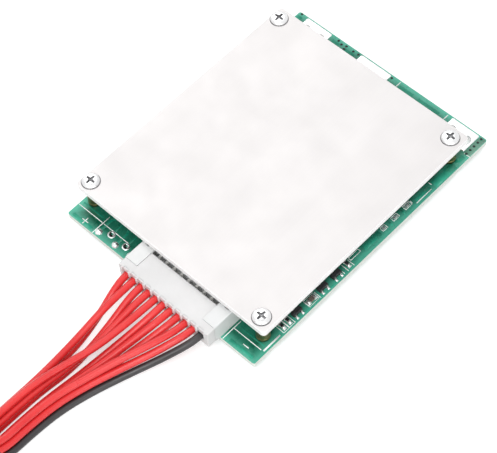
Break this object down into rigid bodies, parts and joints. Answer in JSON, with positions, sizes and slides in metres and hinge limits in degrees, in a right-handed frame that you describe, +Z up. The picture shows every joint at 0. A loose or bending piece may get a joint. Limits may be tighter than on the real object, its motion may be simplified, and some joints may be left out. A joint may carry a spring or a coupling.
{
  "type": "battery management board",
  "caption": "Battery protection and balance board: circuit board under a screwed aluminium heat plate, with a side-entry header and its plugged sense harness.",
  "frame": {"origin": "centre of the bounding box of the board with its header, at the underside of the four nuts it stands on", "axes": "+Z up, away from the surface it stands on; +Y from the header's edge to the edge with the power lands; +X to the right seen from the header's side"},
  "size_m": [0.0746, 0.1958, 0.0162],
  "materials": {
    "solder_mask": "glossy green solder mask over glass-fibre laminate",
    "plate_aluminium": "fine matt, nearly white anodised sheet",
    "screw_steel": "bright nickel-plated steel",
    "standoff_brass": "turned brass, bare",
    "header_nylon": "white moulded nylon, slightly translucent",
    "plug_nylon": "white moulded nylon, slightly translucent",
    "tinned_brass": "bright tinned",
    "tinned_copper": "matt tinned",
    "solder": "smooth, bright solder",
    "moulding_epoxy": "fine matt black moulding",
    "pad_silicone": "soft grey silicone",
    "shunt_body": "black coated metal strip",
    "resistor_body": "black glazed ceramic",
    "capacitor_ceramic": "tan ceramic",
    "wire_red": "smooth red insulation, semi-gloss",
    "wire_black": "smooth black insulation, semi-gloss",
    "tie_plastic": "smooth black nylon"
  },
  "bodies": {
    "root": {"pcb": "solder_mask", "heat_plate": "plate_aluminium", "plate_screws": "screw_steel", "nuts": "screw_steel", "standoffs": "standoff_brass", "header_shroud": "header_nylon", "header_pins": "tinned_brass", "header_solder": "solder", "plug_housing": "plug_nylon", "plug_contacts": "tinned_brass", "power_lands": "solder", "front_joints": "solder", "plated_eyelets": "solder", "transistor_tabs": "tinned_copper", "transistor_bodies": "moulding_epoxy", "transistor_legs": "tinned_copper", "thermal_pad": "pad_silicone", "shunt_resistors": "shunt_body", "balance_resistors": "resistor_body", "small_transistors": "moulding_epoxy", "small_transistor_leads": "tinned_copper", "monitor_chips": "moulding_epoxy", "monitor_chip_leads": "tinned_copper", "chip_resistors": "resistor_body", "chip_capacitors": "capacitor_ceramic", "harness_coil": "wire_red", "harness_ties": "tie_plastic", "wire_1": "wire_red", "wire_2": "wire_red", "wire_3": "wire_red", "wire_4": "wire_red", "wire_5": "wire_red", "wire_6": "wire_red", "wire_7": "wire_red", "wire_8": "wire_red", "wire_9": "wire_red", "wire_10": "wire_red", "wire_11": "wire_black"}
  },
  "joints": []
}
